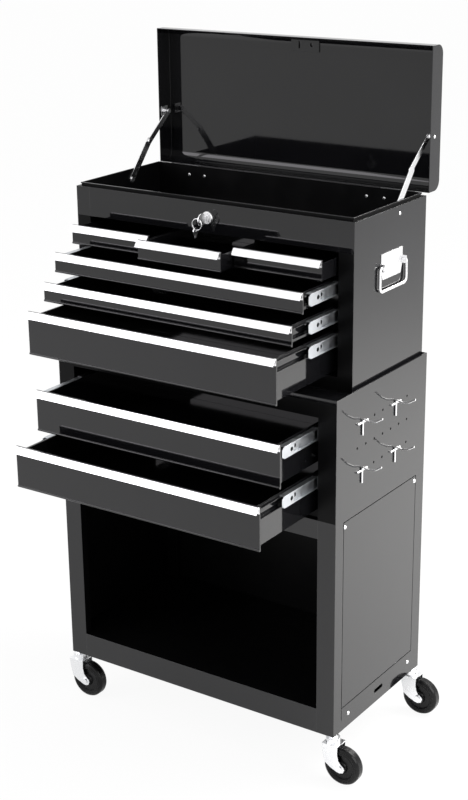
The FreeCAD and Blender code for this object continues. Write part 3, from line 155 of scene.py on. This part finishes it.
def blend(tree, kind, mask, outside, inside):
    """Outside where the mask is zero, inside where it is one."""
    first, second, result = MIX_SOCKETS[kind]
    mix = tree.nodes.new("ShaderNodeMix")
    mix.data_type = kind
    tree.links.new(mask, mix.inputs[0])
    set_or_link(tree, mix.inputs[first], outside)
    set_or_link(tree, mix.inputs[second], inside)
    return mix.outputs[result]


# Materials
ENAMEL_DARK = (0.003, 0.003, 0.0035)
ENAMEL_LIGHT = (0.007, 0.007, 0.008)
# Painted highlight colour for sharp edges
EDGE_HIGHLIGHT = (0.03, 0.03, 0.032)
# Painted shade colours for the shaded insides of the cabinet and chest
SHADE_DARK = (0.0012, 0.0012, 0.0014)
SHADE_LIGHT = (0.003, 0.003, 0.0032)
RIVET_DARK = (0.8, 0.8, 0.81)
RIVET_LIGHT = (0.92, 0.92, 0.93)
RUBBER_DARK = (0.002, 0.002, 0.0022)
RUBBER_LIGHT = (0.006, 0.006, 0.0065)
GLOSS_LEVEL = 0.5
SHADED_LEVEL = 0.1
RUBBER_LEVEL = 0.22
ENAMEL_IOR = 1.5
CATCH_ROUGH = 0.06
PATCH_SCALE = 14.0
BRUSHED = (1, 40, 40)
# Boxes in which a material differs: half width, front, rear, bottom, top
CATCH_ROOM = (0.2, -1.0, 1.0, -1.0, 2.0)
# The cabinet and chest boxes below are their shaded insides, which get painted shade
CABINET_SHADE_ROOM = (0.3042, -0.1608, 0.1612, 0.0948, 0.7315)
CABINET_SHADE_BAY = (0.3042, -0.17, 0.1612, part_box("cabinet_mid_rail")[1].z, 0.7315)
CHEST_SHADE_ROOM = (0.2962, -0.0958, 0.1562, 0.7332, 1.0385)
CHEST_SHADE_BAY = (0.2962, -0.1, 0.1562, 0.7332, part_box("chest_front_panel")[0].z)


def enamel_relief(tree, shader):
    orange_peel = noise(tree, scale=420.0, detail=1.0)
    relief(tree, shader, orange_peel, distance=0.00001, strength=0.5, edge=0.0007)


def black_paint(name, rooms=()):
    """Gloss enamel with light orange peel and a painted highlight along sharp edges.

    Inside the rooms the colour is darker, as painted shade for the shaded insides of the cabinet
    and chest, and the coat is rougher with a lower specular level.
    """
    material, tree, shader = new_material(name)
    color = tint(tree, noise(tree, scale=9.0, detail=4.0), ENAMEL_DARK, ENAMEL_LIGHT)
    # Painted highlight: a lighter colour along sharp edges
    color = blend(tree, "RGBA", edge_mask(tree, radius=0.0009), color, EDGE_HIGHLIGHT)
    rough = spread(tree, noise(tree, scale=60.0, detail=4.0), low=0.035, high=0.07)
    if rooms:
        mask = room_mask(tree, rooms[0])
        for room in rooms[1:]:
            mask = calculate(tree, "MAXIMUM", mask, room_mask(tree, room))
        # Painted shade: a darker colour inside the cabinet and chest, where shade falls
        painted_shade = tint(tree, noise(tree, scale=25.0, detail=5.0), SHADE_DARK, SHADE_LIGHT)
        flat = spread(tree, noise(tree, scale=30.0, detail=4.0), low=0.3, high=0.42)
        color = blend(tree, "RGBA", mask, color, painted_shade)
        rough = blend(tree, "FLOAT", mask, rough, flat)
        level = blend(tree, "FLOAT", mask, GLOSS_LEVEL, SHADED_LEVEL)
        tree.links.new(level, shader.inputs["Specular IOR Level"])
    tree.links.new(color, shader.inputs["Base Color"])
    tree.links.new(rough, shader.inputs["Roughness"])
    shader.inputs["IOR"].default_value = ENAMEL_IOR
    enamel_relief(tree, shader)
    return material


def metal(name, dark, light, rough, grain, grain_scale, distance):
    """Bare metal: patches of two tones, with fine grain in its roughness and relief."""
    material, tree, shader = new_material(name)
    shader.inputs["Metallic"].default_value = 1.0
    fibre = noise(tree, scale=grain_scale, stretch=grain)
    patches = noise(tree, scale=PATCH_SCALE)
    tree.links.new(tint(tree, patches, dark, light), shader.inputs["Base Color"])
    tree.links.new(spread(tree, fibre, *rough), shader.inputs["Roughness"])
    relief(tree, shader, fibre, distance, strength=0.6, edge=0.0004)
    return material


def lid_hardware():
    """Painted catch plate in the middle, bright rivets at the two ends."""
    material, tree, shader = new_material("lid_hardware")
    middle = room_mask(tree, CATCH_ROOM)
    bright = tint(tree, noise(tree, scale=PATCH_SCALE), RIVET_DARK, RIVET_LIGHT)
    plate = tint(tree, noise(tree, scale=9.0, detail=4.0), ENAMEL_DARK, ENAMEL_LIGHT)
    rivet_rough = spread(tree, noise(tree, scale=60.0), low=0.3, high=0.45)
    rough = blend(tree, "FLOAT", middle, rivet_rough, CATCH_ROUGH)
    tree.links.new(blend(tree, "RGBA", middle, bright, plate), shader.inputs["Base Color"])
    tree.links.new(blend(tree, "FLOAT", middle, 1.0, 0.0), shader.inputs["Metallic"])
    tree.links.new(rough, shader.inputs["Roughness"])
    enamel_relief(tree, shader)
    return material


def rubber():
    material, tree, shader = new_material("wheel_rubber")
    color = tint(tree, noise(tree, scale=40.0, detail=4.0), RUBBER_DARK, RUBBER_LIGHT)
    tree.links.new(color, shader.inputs["Base Color"])
    rough = spread(tree, noise(tree, scale=120.0), low=0.2, high=0.32)
    tree.links.new(rough, shader.inputs["Roughness"])
    shader.inputs["Specular IOR Level"].default_value = RUBBER_LEVEL
    skin = noise(tree, scale=900.0, detail=2.0)
    relief(tree, shader, skin, distance=0.00004, strength=0.4, edge=0.0006)
    return material


LOOKS = {
    "black_paint": black_paint("black_paint"),
    # The cabinet and chest paints carry painted shade on their insides
    "cabinet_paint_inner_shade": black_paint("cabinet_paint_inner_shade", (CABINET_SHADE_ROOM, CABINET_SHADE_BAY)),
    "chest_paint_inner_shade": black_paint("chest_paint_inner_shade", (CHEST_SHADE_ROOM, CHEST_SHADE_BAY)),
}
# Dark tone, light tone, roughness range, grain direction, grain scale, relief depth
METALS = {
    "trim_metal": ((0.86, 0.86, 0.87), (0.93, 0.93, 0.94), (0.2, 0.34), BRUSHED, 60.0, 0.00002),
    "zinc": ((0.84, 0.85, 0.87), (0.95, 0.955, 0.96), (0.18, 0.34), EVEN, 90.0, 0.00003),
    "slide_zinc": ((0.5, 0.52, 0.55), (0.68, 0.7, 0.72), (0.3, 0.45), EVEN, 90.0, 0.00003),
    # Painted shade: dark zinc for the slide outers, which sit in shadow
    "dull_zinc": ((0.05, 0.05, 0.052), (0.09, 0.09, 0.093), (0.3, 0.5), EVEN, 90.0, 0.00003),
    "bright_steel": ((0.84, 0.84, 0.85), (0.94, 0.94, 0.95), (0.24, 0.36), EVEN, 70.0, 0.00001),
    "stay_steel": ((0.86, 0.86, 0.87), (0.95, 0.95, 0.96), (0.16, 0.26), EVEN, 70.0, 0.00001),
}
for name, values in METALS.items():
    LOOKS[name] = metal(name, *values)
LOOKS["lid_hardware"] = lid_hardware()
LOOKS["wheel_rubber"] = rubber()


def look_of(name):
    """The finish of a CAD node, from its name and its slot in the record."""
    if name == "lid_fittings":
        return LOOKS["lid_hardware"]
    # The slide outers get the dark zinc as painted shade
    if name.endswith("slide_outers"):
        return LOOKS["dull_zinc"]
    if name.endswith("_slides"):
        return LOOKS["slide_zinc"]
    if name.startswith("stay_links"):
        return LOOKS["stay_steel"]
    if SLOTS[name] == "black_paint" and "drawer" not in name:
        if name.startswith("cabinet_"):
            return LOOKS["cabinet_paint_inner_shade"]
        if name.startswith("chest_"):
            return LOOKS["chest_paint_inner_shade"]
    return LOOKS[SLOTS[name]]


for name, thing in NODES.items():
    look = look_of(name)
    if not thing.data.materials:
        thing.data.materials.append(look)
    for index in range(len(thing.material_slots)):
        thing.material_slots[index].material = look


# Detail pieces
def add_piece(name, mesh, look, body, smooth):
    """Turns a bmesh into a piece that rides on a body."""
    mesh.normal_update()
    data = bpy.data.meshes.new(name)
    mesh.to_mesh(data)
    mesh.free()
    for face in data.polygons:
        face.use_smooth = smooth
    data.materials.append(look)
    thing = bpy.data.objects.new(name, data)
    bpy.context.scene.collection.objects.link(thing)
    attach(thing, body)


# Raised rings on both faces of each wheel
WHEEL_FACE = 0.011
RING_RADII = (0.0303, 0.0268)
BEAD_RADIUS = 0.0007
RING_STEPS = 72
BEAD_SIDES = 12


def add_ring(mesh, centre, radius):
    """Round bead that runs around the y axis."""
    rows = []
    for step in range(RING_STEPS):
        turn = 2 * math.pi * step / RING_STEPS
        row = []
        for part in range(BEAD_SIDES):
            angle = 2 * math.pi * part / BEAD_SIDES
            reach = radius + BEAD_RADIUS * math.cos(angle)
            row.append(mesh.verts.new((
                centre[0] + reach * math.cos(turn),
                centre[1] + BEAD_RADIUS * math.sin(angle),
                centre[2] + reach * math.sin(turn))))
        rows.append(row)
    for step in range(RING_STEPS):
        near, far = rows[step], rows[(step + 1) % RING_STEPS]
        for part in range(BEAD_SIDES):
            after = (part + 1) % BEAD_SIDES
            mesh.faces.new((near[part], near[after], far[after], far[part]))
    bmesh.ops.recalc_face_normals(mesh, faces=mesh.faces)


for place in ("front_left", "front_right", "rear_left", "rear_right"):
    low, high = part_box("caster_wheel_" + place)
    middle = (low + high) / 2
    beads = bmesh.new()
    for side in (-1, 1):
        for radius in RING_RADII:
            add_ring(beads, (middle.x, middle.y + side * WHEEL_FACE, middle.z), radius)
    body = BODY_OF["caster_wheel_" + place]
    add_piece("wheel_beads_" + place, beads, LOOKS["wheel_rubber"], body, True)


# Cross slots in the heads of the panel screws: lengths, then shares of them, then the turn
MERGE = 0.00001
SLOT_REACH = 0.0019
SLOT_WIDTH = 0.00032
SLOT_PROUD = 0.00012
SLOT_SUNK = 0.0006
SLOT_TIP = 0.6
SLOT_TAPER = 0.7
SLOT_TURN = 0.5


def islands(thing):
    """Vertex groups of a mesh that hang together, each as a list of places."""
    mesh = bmesh.new()
    mesh.from_mesh(thing.data)
    bmesh.ops.remove_doubles(mesh, verts=mesh.verts, dist=MERGE)
    seen = set()
    groups = []
    for start in mesh.verts:
        if start in seen:
            continue
        seen.add(start)
        stack = [start]
        places = []
        while stack:
            vertex = stack.pop()
            places.append(vertex.co.copy())
            for edge in vertex.link_edges:
                other = edge.other_vert(vertex)
                if other not in seen:
                    seen.add(other)
                    stack.append(other)
        groups.append(places)
    mesh.free()
    return groups


def add_cross(mesh, centre, side):
    """Cross slot of a screw head whose axis is x, as a plus-shaped tapered plug."""
    edge = SLOT_WIDTH * SLOT_TIP
    outline = []
    for quarter in range(4):
        turn = Matrix.Rotation(quarter * math.pi / 2 + SLOT_TURN, 2)
        for along, across in ((SLOT_REACH, -edge), (SLOT_REACH, edge), (SLOT_WIDTH, SLOT_WIDTH)):
            outline.append(turn @ Vector((along, across)))
    rims = []
    for depth, scale in ((SLOT_PROUD, 1.0), (-SLOT_SUNK, SLOT_TAPER)):
        x = centre.x + side * depth
        rims.append([
            mesh.verts.new((x, centre.y + scale * point.x, centre.z + scale * point.y))
            for point in outline])
    outer, inner = rims
    count = len(outline)
    for index in range(count):
        after = (index + 1) % count
        mesh.faces.new((outer[index], outer[after], inner[after], inner[index]))
    top = mesh.verts.new((centre.x + side * SLOT_PROUD, centre.y, centre.z))
    bottom = mesh.verts.new((centre.x - side * SLOT_SUNK, centre.y, centre.z))
    for index in range(count):
        after = (index + 1) % count
        mesh.faces.new((top, outer[after], outer[index]))
        mesh.faces.new((bottom, inner[index], inner[after]))
    bmesh.ops.recalc_face_normals(mesh, faces=mesh.faces)


crosses = bmesh.new()
for places in islands(NODES["cabinet_panel_screws"]):
    low = Vector([min(place[axis] for place in places) for axis in range(3)])
    high = Vector([max(place[axis] for place in places) for axis in range(3)])
    middle = (low + high) / 2
    side = 1 if middle.x > 0 else -1
    middle.x = high.x if side > 0 else low.x
    add_cross(crosses, middle, side)
add_piece("panel_screw_slots", crosses, LOOKS["black_paint"], "cabinet", False)


# Stage: floor, world and lamps
FLOOR_HALF = 30.0
FLOOR_WHITE = (0.92, 0.92, 0.92)
FLOOR_GLOW = 1.0
FLOOR_TO_EYE = 0.93
FLOOR_TO_GLOSS = 0.5
WORLD_SEEN = 1.0
WORLD_LIGHT = 0.85


def ray_is(tree, *kinds):
    """One for rays of any of these kinds, zero for others."""
    path = tree.nodes.new("ShaderNodeLightPath")
    total = path.outputs[kinds[0]]
    for kind in kinds[1:]:
        total = calculate(tree, "MAXIMUM", total, path.outputs[kind])
    return total


def mix_to_surface(tree, out, share, first, second):
    """Sends a mix of two shaders to the output: the second by its share."""
    both = tree.nodes.new("ShaderNodeMixShader")
    tree.links.new(share, both.inputs["Fac"])
    tree.links.new(first.outputs[0], both.inputs[1])
    tree.links.new(second.outputs[0], both.inputs[2])
    tree.links.new(both.outputs[0], out.inputs["Surface"])


def make_floor():
    """White floor: part glow and part matte, so that it stays white and keeps the shadow."""
    corners = [(x * FLOOR_HALF, y * FLOOR_HALF, 0) for x, y in ((-1, -1), (1, -1), (1, 1), (-1, 1))]
    mesh = bpy.data.meshes.new("floor")
    mesh.from_pydata(corners, [], [(0, 1, 2, 3)])
    thing = bpy.data.objects.new("floor", mesh)
    bpy.context.scene.collection.objects.link(thing)
    material = bpy.data.materials.new("floor_white")
    material.use_nodes = True
    tree = material.node_tree
    tree.nodes.clear()
    out = tree.nodes.new("ShaderNodeOutputMaterial")
    plain = tree.nodes.new("ShaderNodeBsdfDiffuse")
    plain.inputs["Color"].default_value = (*FLOOR_WHITE, 1)
    glow = tree.nodes.new("ShaderNodeEmission")
    glow.inputs["Strength"].default_value = FLOOR_GLOW
    by_eye = calculate(tree, "MULTIPLY", ray_is(tree, "Is Camera Ray"), FLOOR_TO_EYE)
    gloss = ray_is(tree, "Is Glossy Ray", "Is Transmission Ray")
    by_gloss = calculate(tree, "MULTIPLY", gloss, FLOOR_TO_GLOSS)
    share = calculate(tree, "MAXIMUM", by_eye, by_gloss)
    mix_to_surface(tree, out, share, plain, glow)
    mesh.materials.append(material)


def background(tree, strength):
    plain = tree.nodes.new("ShaderNodeBackground")
    plain.inputs["Color"].default_value = WHITE
    plain.inputs["Strength"].default_value = strength
    return plain


def make_world():
    """White all round, which lights a little less than it shows."""
    world = bpy.data.worlds.new("studio")
    bpy.context.scene.world = world
    world.use_nodes = True
    tree = world.node_tree
    tree.nodes.clear()
    out = tree.nodes.new("ShaderNodeOutputWorld")
    showing = ray_is(tree, "Is Camera Ray", "Is Glossy Ray", "Is Transmission Ray")
    mix_to_surface(tree, out, showing, background(tree, WORLD_LIGHT), background(tree, WORLD_SEEN))


def lamp(name, place, aim, size, power, color=(1, 1, 1)):
    data = bpy.data.lights.new(name, "AREA")
    data.shape = "RECTANGLE"
    data.size = size
    data.size_y = size
    data.energy = power
    data.color = color
    thing = bpy.data.objects.new(name, data)
    thing.location = place
    thing.rotation_euler = (Vector(aim) - Vector(place)).to_track_quat("-Z", "Y").to_euler()
    bpy.context.scene.collection.objects.link(thing)


make_floor()
make_world()
lamp("key", (3.0, 0.2, 2.0), (0, 0, 0.6), 2.0, 60)
lamp("floor_pool", (1.2, 1.15, 1.9), (1.2, 1.16, 0), 1.4, 90, (1.0, 0.985, 0.96))
lamp("fill", (-2.4, -2.6, 2.2), (0, 0, 0.7), 2.0, 34, (0.97, 0.94, 1.0))

# Camera where the photograph was taken from
IMAGE_HEIGHT = 800
FOCAL_PIXELS = 1588.74
EYE = (1.5846, -2.3395, 1.6205)
RIGHT = Vector((0.82753, 0.56132, -0.01103))
UP = Vector((-0.17561, 0.27747, 0.94455))
BACK = Vector((0.53325, -0.7797, 0.32819))
camera_data = bpy.data.cameras.new("camera")
camera_data.sensor_fit = "VERTICAL"
camera_data.sensor_height = 24.0
camera_data.lens = FOCAL_PIXELS * camera_data.sensor_height / IMAGE_HEIGHT
camera_data.clip_end = 100.0
camera = bpy.data.objects.new("camera", camera_data)
bpy.context.scene.collection.objects.link(camera)
turn = Matrix((RIGHT, UP, BACK)).transposed().to_4x4()
camera.matrix_world = Matrix.Translation(EYE) @ turn
bpy.context.scene.camera = camera
bpy.context.scene.view_settings.view_transform = "Standard"
